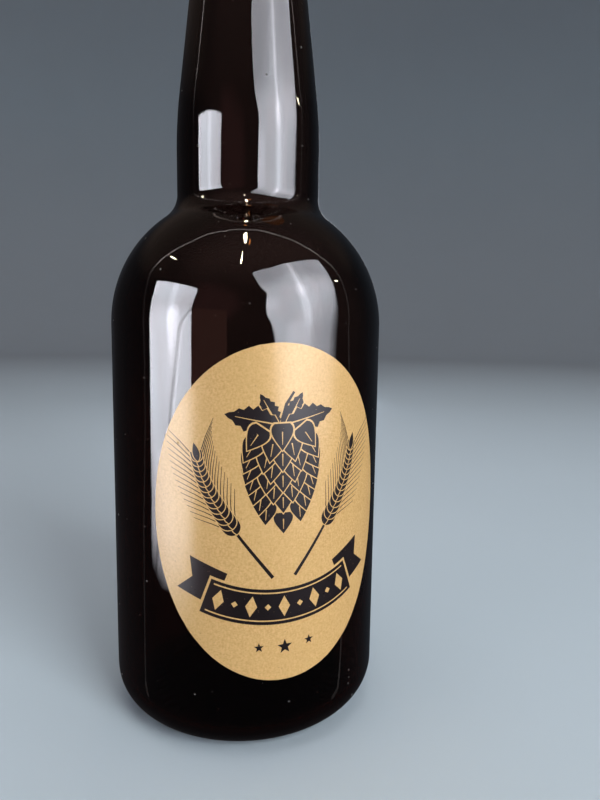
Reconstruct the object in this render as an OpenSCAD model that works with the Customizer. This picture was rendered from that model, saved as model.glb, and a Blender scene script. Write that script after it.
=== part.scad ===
// Brown glass beer bottle with an oval paper label, closed by a crown cap.
// Millimetres, +Z up. The origin is on the table, under the middle of the bottle, and the label faces -Y.

/* [Body] */
// Outside diameter of the body
body_d = 65; // [58:1:75]
// Height from the table to the top of the lip
bottle_h = 195; // [188:1:225]
// Height at which the body starts to turn in towards the neck
shoulder_z = 93; // [86:1:98]
// Radius of the shoulder, seen from the side
shoulder_r = 31; // [27:0.5:33]
// Radius of the hollow where the shoulder runs into the neck
crease_r = 6.5; // [4:0.5:9]
// Radius of the heel, between the wall and the base
heel_r = 9.2; // [6:0.2:11]
// Thickness of the glass in the wall and neck
wall = 2.5; // [2.2:0.1:3.2]

/* [Base] */
// Width of the flat ring that the bottle stands on
ring_w = 2.8; // [1.5:0.1:5]
// Height of the dome pushed up into the base
pushup_h = 4; // [2:0.5:8]
// Thickness of the glass in the middle of the base
base_t = 4; // [3:0.5:6]

/* [Neck] */
// Outside diameter of the neck at its fullest
neck_d = 34; // [31:0.5:37]
// Length of straight neck above the crease
neck_straight = 10.6; // [2:0.2:16]
// Radius of the swell, where the straight neck leans in to its taper
swell_r = 110; // [60:5:160]
// Outside diameter of the neck just under the finish
neck_top_d = 25.4; // [24.6:0.1:26.4]

/* [Crown finish] */
// Height of the finish, from the underside of its bead to the top of the lip
finish_h = 18; // [16:0.5:20]
// Diameter of the locking ring that the cap grips
lip_d = 26.6; // [26:0.1:27.2]
// Height of the locking ring, from its underside to the top of the lip
lip_h = 5.5; // [5:0.1:6.5]
// Radius of the lip's outer edge
lip_edge_r = 2.7; // [2:0.1:3]
// Radius of the lip's inner edge
mouth_edge_r = 1; // [0.5:0.1:1.4]
// Height of the slope under the locking ring
lock_slope_h = 1.1; // [0.6:0.1:1.6]
// Diameter of the throat between the locking ring and the bead
throat_d = 25; // [24.4:0.1:25.4]
// Diameter of the bead under the throat
bead_d = 28.4; // [27.4:0.2:29.4]
// Height of the bead
bead_h = 5.5; // [4.5:0.5:6.5]
// Diameter of the bore at the mouth
bore_d = 16.6; // [15:0.2:17.4]
// Length of straight bore below the mouth
bore_len = 14; // [8:1:17]

/* [Label] */
// Width of the label, measured round the bottle
label_w = 56.6; // [40:0.2:80]
// Height of the label
label_h = 72; // [50:1:76]
// Distance from the shoulder down to the top of the label
label_top_gap = 3.1; // [1:0.1:6]
// Lean of the label, anticlockwise seen from the front
label_tilt = 1.3; // [0:0.1:4]
// Thickness of the paper
label_t = 0.12; // [0.08:0.01:0.3]
// Thickness of the glue under the paper
glue_t = 0.02; // [0.01:0.01:0.05]

/* [Crown cap] */
// Number of flutes round the skirt
flutes = 21; // [18:1:24]
// Thickness of the tinplate
plate_t = 0.25; // [0.2:0.01:0.35]
// Radius of the cap's top edge, outside
cap_edge_r = 2; // [1.4:0.1:2.4]
// Depth of the skirt below the top of the lip
skirt_below_lip = 5; // [4.5:0.1:5.4]
// How far the flutes stand out at the foot of the skirt
flute_out = 1.1; // [0.6:0.1:1.6]
// Gap between the locking ring and the inside of the skirt
skirt_gap = 0.15; // [0.1:0.05:0.3]

/* [Liner] */
// Thickness of the liner where it seals on the lip
liner_t = 0.8; // [0.6:0.1:1]
// Depth of the hollow in the middle of the liner
liner_hollow = 0.35; // [0.2:0.05:0.45]
// Gap between the rim of the liner and the corner of the cap
liner_gap = 0.08; // [0.05:0.01:0.15]

/* [Hidden] */
// Angle between the points of a tight curve and of a long one
tight_step = 6;
long_step = 1.5;
label_points = 96;
$fn = 96;

body_r = body_d / 2;
neck_r = neck_d / 2;
neck_top_r = neck_top_d / 2;
lip_r = lip_d / 2;
throat_r = throat_d / 2;
bore_r = bore_d / 2;
bead_r = bead_d / 2;
finish_z = bottle_h - finish_h;

// Centres of the heel and of the shoulder, and of the crease that touches both shoulder and neck
heel_c = [body_r - heel_r, heel_r];
shoulder_c = [body_r - shoulder_r, shoulder_z];
crease_x = neck_r + crease_r;
crease_rise = sqrt(pow(shoulder_r + crease_r, 2) - pow(crease_x - shoulder_c.x, 2));
crease_c = [crease_x, shoulder_z + crease_rise];
crease_a = atan2(crease_rise, crease_x - shoulder_c.x);

// The swell is limited by the length of neck above it, so that a straight cone still fits over it
swell_z = crease_c.y + neck_straight;
neck_lean = neck_r - neck_top_r;
neck_room = finish_z - swell_z;
longest_swell_r = (neck_lean * neck_lean + neck_room * neck_room) / (2 * neck_lean);
swell_share = 0.9;
swell_fit_r = min(swell_r, swell_share * longest_swell_r);

// The swell turns through taper_a, so that the cone above it ends at the neck's top diameter
swell_c = [neck_r - swell_fit_r, swell_z];
cone_end = [neck_top_r, finish_z];
cone_run = cone_end - swell_c;
taper_a = atan2(cone_run.y, cone_run.x) - acos(swell_fit_r / norm(cone_run));

// The bead's arc starts at the neck and ends at the throat
bead_arc_r = bead_h / 2;
bead_c = [bead_r - bead_arc_r, finish_z + bead_arc_r];
bead_low_a = acos((neck_top_r - bead_c.x) / bead_arc_r);
bead_high_a = acos((throat_r - bead_c.x) / bead_arc_r);

// The base's outer dome ends at the bearing ring, and the inner one where the heel is as thick as the wall
ring_inner_r = heel_c.x - ring_w;
floor_rise = pushup_h + base_t - wall;

label_z = shoulder_z - label_top_gap - label_h / 2;

// Radius of the outside of the skirt between its flutes, and where the corner's arc sits
valley_r = lip_r + skirt_gap + plate_t;
cap_top_z = bottle_h + liner_t + plate_t;
cap_foot_z = bottle_h - skirt_below_lip;
cap_edge_c = [valley_r - cap_edge_r, cap_top_z - cap_edge_r];
points_per_flute = 6;
cap_around = flutes * points_per_flute;
skirt_rows = 3;
edge_rows = 3;
// How sharply the flutes' crests stand out between their broad valleys
crest_sharpness = 1.4;

// Points on an arc, both ends included
function arc(c, r, from, to, step) =
    let (n = max(1, ceil(abs(to - from) / step)))
    [for (i = [0:n]) let (a = from + (to - from) * i / n) c + r * [cos(a), sin(a)]];

// Points on a dome over the axis, from its rim to its top
function dome(rim_r, rim_z, rise) =
    let (r = (rim_r * rim_r + rise * rise) / (2 * rise))
    let (rim_a = acos(rim_r / r))
    arc([0, rim_z + rise - r], r, rim_a, 90, long_step);

function reversed(list) = [for (i = [len(list) - 1:-1:0]) list[i]];

// The side of the bottle from the heel to the top of the neck, set in by the given depth
function side(inset) = concat(
    arc(heel_c, heel_r - inset, -90, 0, tight_step),
    arc(shoulder_c, shoulder_r - inset, 0, crease_a, long_step),
    arc(crease_c, crease_r + inset, crease_a + 180, 180, tight_step),
    arc(swell_c, swell_fit_r - inset, 0, taper_a, long_step),
    [cone_end - inset * [cos(taper_a), sin(taper_a)]]
);

// The finish, from the bead up over the locking ring and the lip to the foot of the bore
function finish() = concat(
    arc(bead_c, bead_arc_r, -bead_low_a, bead_high_a, tight_step),
    [[throat_r, bottle_h - lip_h], [lip_r, bottle_h - lip_h + lock_slope_h]],
    arc([lip_r - lip_edge_r, bottle_h - lip_edge_r], lip_edge_r, 0, 90, tight_step),
    arc([bore_r + mouth_edge_r, bottle_h - mouth_edge_r], mouth_edge_r, 90, 180, tight_step),
    [[bore_r, bottle_h - bore_len]]
);

// The glass is blown in one piece: one closed outline, turned about the axis
module bottle_glass() {
    color([0.17, 0.08, 0.03, 0.9])
    rotate_extrude()
    polygon(concat(
        reversed(dome(ring_inner_r, 0, pushup_h)),
        side(0),
        finish(),
        reversed(side(wall)),
        dome(heel_c.x, wall, floor_rise)
    ));
}

// The label's oval outline, bent round the body and seen from the front
function label_outline() = [
    for (i = [0:label_points - 1])
    let (t = 360 * i / label_points)
    let (p = [label_w / 2 * cos(t), label_h / 2 * sin(t)])
    let (across = p.x * cos(label_tilt) - p.y * sin(label_tilt))
    let (up = p.x * sin(label_tilt) + p.y * cos(label_tilt))
    [body_r * sin(across / body_r * 180 / PI), label_z + up]
];

module front_label() {
    color([0.84, 0.73, 0.56])
    intersection() {
        rotate([90, 0, 0])
        linear_extrude(height = body_d)
        polygon(label_outline());
        translate([0, 0, label_z - label_h])
        difference() {
            cylinder(r = body_r + glue_t + label_t, h = 2 * label_h);
            translate([0, 0, -1])
            cylinder(r = body_r + glue_t, h = 2 * label_h + 2);
        }
    }
}

// One side of the tinplate, from the rim of the flat top to the foot: [radius, height, share of the flute]
function cap_face(inset) = concat(
    [
        for (i = [0:edge_rows])
        let (a = 90 - 90 * i / edge_rows)
        concat(cap_edge_c + (cap_edge_r - inset) * [cos(a), sin(a)], [0])
    ],
    [
        for (i = [1:skirt_rows])
        let (down = i / skirt_rows)
        [valley_r - inset, cap_edge_c.y + (cap_foot_z - cap_edge_c.y) * down, down]
    ]
);

// Share of a flute's full height at an angle round the skirt
function crest(angle) = pow(0.5 + 0.5 * cos(angle * flutes), crest_sharpness);

module crown_cap() {
    rows = concat(cap_face(0), reversed(cap_face(plate_t)));
    row_points = [
        for (row = rows)
        for (j = [0:cap_around - 1])
        let (a = 360 * j / cap_around)
        let (r = row[0] + flute_out * row[2] * crest(a))
        [r * cos(a), r * sin(a), row[1]]
    ];
    last = (len(rows) - 1) * cap_around;
    top_point = len(row_points);
    under_point = top_point + 1;
    sheet = [
        for (i = [0:len(rows) - 2])
        for (j = [0:cap_around - 1])
        let (here = i * cap_around + j)
        let (beside = i * cap_around + (j + 1) % cap_around)
        for (face = [[here, beside, here + cap_around], [beside, beside + cap_around, here + cap_around]])
        face
    ];
    top_fan = [for (j = [0:cap_around - 1]) [top_point, (j + 1) % cap_around, j]];
    under_fan = [for (j = [0:cap_around - 1]) [under_point, last + j, last + (j + 1) % cap_around]];
    color([0.62, 0.5, 0.24])
    polyhedron(
        points = concat(row_points, [[0, 0, cap_top_z], [0, 0, cap_top_z - plate_t]]),
        faces = concat(sheet, top_fan, under_fan),
        convexity = 6
    );
}

// The liner fills the corner of the cap and seals on the flat of the lip
module cap_liner() {
    seal_r = bore_r + mouth_edge_r;
    edge_r = cap_edge_r - plate_t - liner_gap;
    foot_a = asin((bottle_h - cap_edge_c.y) / edge_r);
    color([0.88, 0.87, 0.82])
    rotate_extrude()
    polygon(concat(
        [[0, bottle_h + liner_hollow], [seal_r - liner_hollow, bottle_h + liner_hollow], [seal_r, bottle_h]],
        arc(cap_edge_c, edge_r, foot_a, 90, tight_step),
        [[cap_edge_c.x, bottle_h + liner_t], [0, bottle_h + liner_t]]
    ));
}

bottle_glass();
front_label();
crown_cap();
cap_liner();
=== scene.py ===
from math import acos, asin, atan2, ceil, copysign, cos, degrees, dist
from math import exp, hypot, pi, radians, remainder, sin, sqrt

import bmesh
import bpy
from mathutils import Matrix, Vector, noise
from mathutils.geometry import delaunay_2d_cdt


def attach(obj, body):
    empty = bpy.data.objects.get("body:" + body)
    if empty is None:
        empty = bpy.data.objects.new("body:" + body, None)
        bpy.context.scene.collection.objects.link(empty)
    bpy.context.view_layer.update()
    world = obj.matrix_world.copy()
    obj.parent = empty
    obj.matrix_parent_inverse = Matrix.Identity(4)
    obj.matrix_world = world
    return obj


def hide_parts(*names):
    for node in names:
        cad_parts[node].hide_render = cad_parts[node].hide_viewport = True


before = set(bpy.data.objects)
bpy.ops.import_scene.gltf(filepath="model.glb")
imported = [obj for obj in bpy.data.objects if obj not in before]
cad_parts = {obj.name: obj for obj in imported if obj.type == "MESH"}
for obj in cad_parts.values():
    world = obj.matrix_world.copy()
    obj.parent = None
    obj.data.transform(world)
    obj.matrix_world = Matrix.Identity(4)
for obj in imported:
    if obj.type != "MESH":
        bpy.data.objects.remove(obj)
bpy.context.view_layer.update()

MM = 0.001

# Driving sizes in millimetres, the same as the CAD part's
BODY_R = 32.5
BOTTLE_H = 195
FINISH_H = 18
SHOULDER_Z = 93
SHOULDER_R = 31
CREASE_R = 6.5
HEEL_R = 9.2
WALL = 2.5
RING_W = 2.8
PUSHUP_H = 4
BASE_T = 4
NECK_R = 17
NECK_STRAIGHT = 10.6
SWELL_R = 110
NECK_TOP_R = 12.7
FINISH_Z = BOTTLE_H - FINISH_H
LIP_R = 13.3
LIP_H = 5.5
LIP_EDGE_R = 2.7
MOUTH_EDGE_R = 1
LOCK_SLOPE_H = 1.1
THROAT_R = 12.5
BEAD_R = 14.2
BEAD_H = 5.5
BORE_R = 8.3
BORE_LEN = 14
LABEL_W = 56.6
LABEL_H = 72
LABEL_DROP = 3.1
LABEL_Z = SHOULDER_Z - LABEL_DROP - LABEL_H / 2
LABEL_TILT = radians(1.3)
LABEL_T = 0.12
GLUE_T = 0.02
FLUTES = 21
PLATE_T = 0.25
CAP_EDGE_R = 2
SKIRT_BELOW_LIP = 5
FLUTE_OUT = 1.1
SKIRT_GAP = 0.15
LINER_T = 0.8
LINER_HOLLOW = 0.35
LINER_GAP = 0.08

HEEL_C = (BODY_R - HEEL_R, HEEL_R)
SHOULDER_C = (BODY_R - SHOULDER_R, SHOULDER_Z)
CREASE_X = NECK_R + CREASE_R
CREASE_RISE = sqrt((SHOULDER_R + CREASE_R) ** 2 - (CREASE_X - SHOULDER_C[0]) ** 2)
CREASE_C = (CREASE_X, SHOULDER_Z + CREASE_RISE)
CREASE_A = degrees(atan2(CREASE_RISE, CREASE_X - SHOULDER_C[0]))
SWELL_C = (NECK_R - SWELL_R, CREASE_C[1] + NECK_STRAIGHT)
CONE_RUN = (NECK_TOP_R - SWELL_C[0], FINISH_Z - SWELL_C[1])
CONE_LEAN = atan2(CONE_RUN[1], CONE_RUN[0]) - acos(SWELL_R / hypot(*CONE_RUN))
TAPER_A = degrees(CONE_LEAN)
VALLEY_R = LIP_R + SKIRT_GAP + PLATE_T
CAP_TOP_Z = BOTTLE_H + LINER_T + PLATE_T
CAP_FOOT_Z = BOTTLE_H - SKIRT_BELOW_LIP
CAP_EDGE_C = (VALLEY_R - CAP_EDGE_R, CAP_TOP_Z - CAP_EDGE_R)


# ---- outlines

SAME_POINT = 1e-6


def on_circle(centre, radius, angle):
    """The point of a circle at an angle in radians."""
    return centre[0] + radius * cos(angle), centre[1] + radius * sin(angle)


def arc(centre, radius, start, end, step=3):
    """Points on an arc, in degrees, both ends included, no more than a step apart."""
    count = max(1, ceil(abs(end - start) / step))
    turns = [start + (end - start) * i / count for i in range(count + 1)]
    return [on_circle(centre, radius, radians(turn)) for turn in turns]


def dome(rim_r, rim_z, rise):
    """Points on a dome over the axis, from its rim to its top."""
    radius = (rim_r ** 2 + rise ** 2) / (2 * rise)
    rim_angle = degrees(acos(rim_r / radius))
    return arc((0, rim_z + rise - radius), radius, rim_angle, 90)


def side(inset):
    """The side of the bottle from the heel to the top of the neck, set in by a depth."""
    taper = radians(TAPER_A)
    return (
        arc(HEEL_C, HEEL_R - inset, -90, 0, 4)
        + arc(SHOULDER_C, SHOULDER_R - inset, 0, CREASE_A, 2)
        + arc(CREASE_C, CREASE_R + inset, CREASE_A + 180, 180, 4)
        + arc(SWELL_C, SWELL_R - inset, 0, TAPER_A, 1)
        + [(NECK_TOP_R - inset * cos(taper), FINISH_Z - inset * sin(taper))]
    )


def finish():
    """The crown finish, from its bead over the locking ring and the lip to the foot of the bore."""
    bead_r = BEAD_H / 2
    bead_c = (BEAD_R - bead_r, FINISH_Z + bead_r)
    low = degrees(acos((NECK_TOP_R - bead_c[0]) / bead_r))
    high = degrees(acos((THROAT_R - bead_c[0]) / bead_r))
    lip_c = (LIP_R - LIP_EDGE_R, BOTTLE_H - LIP_EDGE_R)
    mouth_c = (BORE_R + MOUTH_EDGE_R, BOTTLE_H - MOUTH_EDGE_R)
    lock_z = BOTTLE_H - LIP_H
    return (
        arc(bead_c, bead_r, -low, high, 8)
        + [(THROAT_R, lock_z), (LIP_R, lock_z + LOCK_SLOPE_H)]
        + arc(lip_c, LIP_EDGE_R, 0, 90, 8)
        + arc(mouth_c, MOUTH_EDGE_R, 90, 180, 15)
        + [(BORE_R, BOTTLE_H - BORE_LEN)]
    )


def resampled(points, longest):
    """The same outline with extra points, so that no stretch is longer than the given length."""
    out = [points[0]]
    for a, b in zip(points, points[1:]):
        length = dist(a, b)
        if length < SAME_POINT:
            continue
        count = ceil(length / longest)
        for i in range(1, count + 1):
            out.append((a[0] + (b[0] - a[0]) * i / count, a[1] + (b[1] - a[1]) * i / count))
    return out


def smooth(low, high, value):
    """0 below low, 1 above high, and an even blend between them."""
    t = min(1, max(0, (value - low) / (high - low)))
    return t * t * (3 - 2 * t)


# ---- meshes

def new_object(name, data):
    """A new object in the scene, from a mesh, a lamp or a camera."""
    made = bpy.data.objects.new(name, data)
    bpy.context.scene.collection.objects.link(made)
    return made


def new_mesh(name, verts, faces):
    """A mesh from its points and faces."""
    mesh = bpy.data.meshes.new(name)
    mesh.from_pydata(verts, [], faces)
    return mesh


def even_turns(count):
    """Angles in even steps round the axis, in radians."""
    return [2 * pi * i / count for i in range(count)]


def turned(name, outline, angles, place):
    """A closed solid turned about the axis. The outline runs from axis to axis, in millimetres.
    place(r, z, angle, i) gives each point's final radius and height."""
    count = len(angles)
    rows = outline[1:-1]
    verts = []
    for i, (r, z) in enumerate(rows):
        for angle in angles:
            far, high = place(r, z, angle, i)
            verts.append((far * cos(angle) * MM, far * sin(angle) * MM, high * MM))
    first, last = len(verts), len(verts) + 1
    verts += [(0, 0, outline[0][1] * MM), (0, 0, outline[-1][1] * MM)]
    faces = []
    for i in range(len(rows) - 1):
        for j in range(count):
            k = (j + 1) % count
            faces.append((i * count + j, i * count + k, (i + 1) * count + k, (i + 1) * count + j))
    top = (len(rows) - 1) * count
    for j in range(count):
        k = (j + 1) % count
        faces.append((first, k, j))
        faces.append((last, top + j, top + k))
    mesh = new_mesh(name, verts, faces)
    mesh.validate()
    mesh.shade_smooth()
    return new_object(name, mesh)


# ---- the glass

TURN_STEPS = 240
OUTER_STEP = 2
INNER_STEP = 3
# Mould seams: their angles, height and width, and the finer steps across each, in degrees
SEAMS = (0, pi)
SEAM_H = 0.1
SEAM_W = 0.28
SEAM_STEPS = (-1.1, -0.75, -0.5, -0.25, 0.25, 0.5, 0.75, 1.1)
KNURLS = 48
KNURL_H = 0.3
# Soft waves of the glass: size, depth, more depth on the neck, and seed
OUTER_WAVES = ((13, 0.01, 0.054, 3.7), (6, 0.002, 0.008, 9.1))
OUTER_INSET = 0.03
INNER_WAVE = (16, 0.3, 21.3)
WAVE_STRETCH = 0.8


def ripple(angle, r, z, size, depth, seed):
    """The soft unevenness of moulded glass."""
    place = Vector((r * cos(angle), r * sin(angle), z * WAVE_STRETCH)) / size
    return depth * noise.noise(place + Vector((seed, 0, 0)))


def outer_offset(r, z, angle):
    """How far the outside of the glass stands off its true outline, in millimetres."""
    steady = smooth(4, 16, z) * (1 - smooth(FINISH_Z - 6, FINISH_Z - 1, z))
    neck = smooth(CREASE_C[1] + 1, CREASE_C[1] + 14, z)
    wave = 0
    for size, depth, more, seed in OUTER_WAVES:
        wave += ripple(angle, r, z, size, depth + more * neck, seed)
    seam = 0
    for at in SEAMS:
        off = abs(remainder(angle - at, 2 * pi)) * r
        seam += SEAM_H * exp(-((off / SEAM_W) ** 2))
    return (wave - OUTER_INSET + seam) * steady


def bottle_angles():
    """Even steps round the bottle, with finer ones across each mould seam."""
    fine = [at + radians(step) for at in SEAMS for step in SEAM_STEPS]
    return sorted({round(a % (2 * pi), 6) for a in even_turns(TURN_STEPS) + fine})


def make_bottle():
    """The blown glass in one closed skin, outside and inside, knurled on its bearing ring."""
    ring_inner = HEEL_C[0] - RING_W
    outside = dome(ring_inner, 0, PUSHUP_H)[::-1] + side(0) + finish()
    inside = side(WALL)[::-1] + dome(HEEL_C[0], WALL, PUSHUP_H + BASE_T - WALL)
    outer = resampled(outside, OUTER_STEP)
    outline = outer + resampled([outside[-1]] + inside, INNER_STEP)[1:]
    outer_count = len(outer) - 1

    def place(r, z, angle, i):
        if i >= outer_count:
            steady = smooth(8, 20, z) * (1 - smooth(FINISH_Z - 12, FINISH_Z - 2, z))
            return r + ripple(angle, r, z, *INNER_WAVE) * steady, z
        on_ring = smooth(ring_inner - 1, ring_inner + 0.4, r)
        on_ring *= 1 - smooth(HEEL_C[0] - 0.4, HEEL_C[0] + 1.6, r)
        if z < 1 and on_ring > 0:
            return r, z + KNURL_H * on_ring * (0.5 - 0.5 * cos(KNURLS * angle))
        return r + outer_offset(r, z, angle), z

    return turned("bottle_glass_skin", outline, bottle_angles(), place)


# ---- the label

PAPER, INK = 0, 1
LABEL_CORNERS = 300
NIB = 0.0018            # how far the cut edge strays, as a share of its radius
FILL_STEP = 1.1         # between points inside the paper
EDGE_STEP = 0.8         # between points along a printed edge
MARGIN = 2              # kept free of points inside the cut edge
JOIN_WITHIN = 1e-5


def cut_oval(width, height):
    """The label's outline, with the small nibs of a hand-cut edge."""
    points = []
    for t in even_turns(LABEL_CORNERS):
        nib = 1 + NIB * (noise.noise(Vector((9 * cos(t), 9 * sin(t), 5)))
                         + 0.8 * noise.noise(Vector((40 * cos(t), 40 * sin(t), 1))))
        points.append((width / 2 * cos(t) * nib, height / 2 * sin(t) * nib))
    return points


def turned_flat(points, angle, at):
    """A flat shape turned by an angle and moved to a place."""
    c, s = cos(angle), sin(angle)
    return [(at[0] + x * c - y * s, at[1] + x * s + y * c) for x, y in points]


def mirrored(points):
    """The points across the middle line, in reverse, to close or mirror a shape."""
    return [(-x, y) for x, y in reversed(points)]


def swelling(length, width, count, start, power):
    """The left side of a pointed shape, from its foot at the origin to its tip on +y.
    It starts as wide as a share of its swell gives, and the power sets where it is widest."""
    swell = [sin(pi * (start + (1 - start) * i / count) ** power) for i in range(count + 1)]
    return [(-width / 2 * wide, length * i / count) for i, wide in enumerate(swell)]


def barley_grain(length, width):
    """A pointed barley grain, from its foot at the origin to its tip on +y."""
    left = swelling(length, width, 9, 0, 0.8)
    return left + mirrored(left[1:-1])


def stroke(points, start_w, end_w):
    """A line of tapering width along a list of points."""
    left, right = [], []
    last = len(points) - 1
    for i, (x, y) in enumerate(points):
        before, after = points[max(0, i - 1)], points[min(last, i + 1)]
        dx, dy = after[0] - before[0], after[1] - before[1]
        long = hypot(dx, dy)
        half = (start_w + (end_w - start_w) * i / last) / 2
        left.append((x - dy / long * half, y + dx / long * half))
        right.append((x + dy / long * half, y - dx / long * half))
    return left + right[::-1]


def star(radius, points=5, waist=0.42):
    """A star with one point up."""
    reach = [radius if i % 2 == 0 else radius * waist for i in range(2 * points)]
    turn = [pi / 2 + pi * i / points for i in range(2 * points)]
    return [(r * cos(a), r * sin(a)) for r, a in zip(reach, turn)]


def outlined(points_of, size, turn, at, line=0.34):
    """A shape in ink with a thin line of bare paper round it. points_of gives the shape from its
    length and width."""
    length, width = size
    behind = turned_flat([(0, -line)], turn, at)[0]
    return [(turned_flat(points_of(length + 2 * line, width + 2 * line), turn, behind), PAPER),
            (turned_flat(points_of(length, width), turn, at), INK)]


GRAIN_LINE = 0.22


def barley(mirror):
    """One ear of barley on a curved stalk: pairs of grains, each with its long awn."""
    last, first = 22, 8
    shares = [i / last for i in range(last + 1)]
    stalk = [(2.4 + 15.4 * sin(t * 1.35), -13 + 28 * t - 3 * t * t) for t in shares]
    shapes = [(stroke(stalk, 0.75, 0.35), INK)]
    grains = []
    for i in range(first, last + 1):
        (x0, y0), (x1, y1) = stalk[i - 1], stalk[i]
        along = atan2(y1 - y0, x1 - x0) - pi / 2
        size = 1 - 0.35 * (i - first) / (last - first)
        for lean in (-0.5, 0.5):
            turn = along + lean
            bend = copysign(1, -lean)
            awn = [(0, 1.5), (0.25 * bend, 5.5), (0.9 * bend, 9.6)]
            shapes.append((turned_flat(stroke(awn, 0.24, 0.1), turn, (x1, y1)), INK))
            grains += outlined(barley_grain, (4 * size, 1.9 * size), turn, (x1, y1), GRAIN_LINE)
    shapes += grains + outlined(barley_grain, (4, 1.5), along, stalk[-1], GRAIN_LINE)
    if mirror:
        shapes = [(mirrored(shape), tone) for shape, tone in shapes]
    return shapes


def hop_scale(length, width):
    """A hop's scale, broad at its foot on the origin and pointed at its tip on +y."""
    left = swelling(length, width, 10, 0.1, 0.6)
    return left + mirrored(left[:-1])


def hop_cone(centre, length, width):
    """A hop cone, hanging: rows of pointed scales, each row laid over the one below it."""
    shapes = []
    counts = (3, 4, 5, 4, 5, 4, 3, 2, 1)
    for row in range(len(counts) - 1, -1, -1):
        down = row / (len(counts) - 1)
        half = width / 2 * sin(pi * (0.2 + 0.72 * down ** 0.85)) ** 0.7
        y = centre[1] + length / 2 - length * 0.83 * down
        size = (length * (0.25 - 0.05 * down), width * (0.31 - 0.03 * down))
        order = sorted(range(counts[row]), key=lambda k: -abs(k - (counts[row] - 1) / 2))
        for k in order:
            across = (k / (counts[row] - 1) - 0.5) * 2 if counts[row] > 1 else 0
            at = (centre[0] + across * half * 0.78, y - 0.7 * abs(across) * (1 - down))
            turn = pi + across * (0.62 - 0.62 * down)
            shapes += outlined(hop_scale, size, turn, at)
            vein = [(0, size[0] * 0.3), (0, size[0] * 0.78)]
            shapes.append((turned_flat(stroke(vein, 0.26, 0.1), turn, at), PAPER))
    return shapes


def toothed(length, width, teeth=6):
    """One lobe of a hop leaf, with saw teeth along both sides, from the origin to its tip on +y."""
    left = []
    for i in range(teeth):
        for step, out in ((0, 0.8), (0.55, 1.12)):
            t = (i + step) / teeth
            left.append((-width / 2 * sin(pi * (0.06 + 0.94 * t) ** 0.85) * out, length * t))
    return left + [(0, length)] + mirrored(left)


def hop_leaf(at, turn, size):
    """A three-lobed leaf with a pale vein down each lobe."""
    shapes = []
    for lean, share in ((0.85, 0.66), (-0.85, 0.66), (0, 1)):
        shapes += outlined(toothed, (size * share, size * 0.5 * share), turn + lean, at, 0.2)
        vein = [(0, 0.8), (0, size * share * 0.8)]
        shapes.append((turned_flat(stroke(vein, 0.32, 0.1), turn + lean, at), PAPER))
    return shapes


def band(radius, centre, half_angle, low, high, count=28):
    """Part of a ring, with its middle at the bottom."""
    angles = [-pi / 2 + half_angle * (2 * i / count - 1) for i in range(count + 1)]
    inner = [on_circle(centre, radius + low, a) for a in angles]
    outer = [on_circle(centre, radius + high, a) for a in angles]
    return outer + inner[::-1]


def ribbon(middle_y):
    """A curved ribbon with folded, forked tails and a row of lozenges left bare along it."""
    radius, half, wide, edge = 46, 0.37, 3.9, 0.55
    centre = (0, middle_y + radius)
    shapes = []
    for turn in (-1, 1):
        x, y = on_circle(centre, radius, -pi / 2 + turn * (half - 0.02))
        foot = (x, y + 2.6)
        tail = [(-2.6, -wide), (6.2, -wide), (4, 0), (6.2, wide), (-2.6, wide)]
        if turn < 0:
            tail = mirrored(tail)
        shapes.append((turned_flat(tail, turn * (half + 0.05), foot), INK))
    bands = ((half + 0.012, -wide - edge, wide + edge, PAPER), (half, -wide, wide, INK),
             (half - 0.02, -wide + 0.7, -wide + 1, PAPER), (half - 0.02, wide - 1, wide - 0.7, PAPER))
    for reach, low, high, tone in bands:
        shapes.append((band(radius, centre, reach, low, high), tone))
    for i in range(-4, 5):
        a = -pi / 2 + i * 0.077
        at = on_circle(centre, radius, a)
        tall, broad = (2.3, 1.25) if i % 2 == 0 else (0.7, 0.7)
        lozenge = [(0, -tall), (broad, 0), (0, tall), (-broad, 0)]
        shapes.append((turned_flat(lozenge, a + pi / 2, at), PAPER))
    return shapes


def label_print():
    """The label's design, painted in order: a later shape lies over an earlier one."""
    shapes = barley(False) + barley(True)
    shapes += hop_leaf((-1, 19.4), 1.35, 11) + hop_leaf((1, 19.4), -1.35, 11)
    shapes += [(stroke([(0, 17), (0.1, 20.5), (0.9, 23.5), (2.6, 26)], 1, 0.5), INK)]
    shapes += hop_cone((0, 8.3), 22.5, 15)
    shapes += ribbon(-19.5)
    for x, y, r in ((0, -28.6, 1.7), (-5.6, -28.2, 1.1), (5.6, -28.2, 1.1)):
        shapes.append((turned_flat(star(r), 0, (x, y)), INK))
    return shapes


def stepped(points, longest):
    """A closed shape, anticlockwise, with extra points on its long edges."""
    area = sum(a[0] * b[1] - b[0] * a[1] for a, b in zip(points, points[1:] + points[:1]))
    if area < 0:
        points = points[::-1]
    return resampled(points + points[:1], longest)[:-1]


def on_bottle(x, y, lift):
    """A point of the flat label, leaned, bent round the glass and lifted off it."""
    c, s = cos(LABEL_TILT), sin(LABEL_TILT)
    across, up = x * c - y * s, x * s + y * c
    angle = across / BODY_R - pi / 2
    z = LABEL_Z + up
    r = BODY_R + outer_offset(BODY_R, z, angle) + lift
    return r * cos(angle) * MM, r * sin(angle) * MM, z * MM


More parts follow.
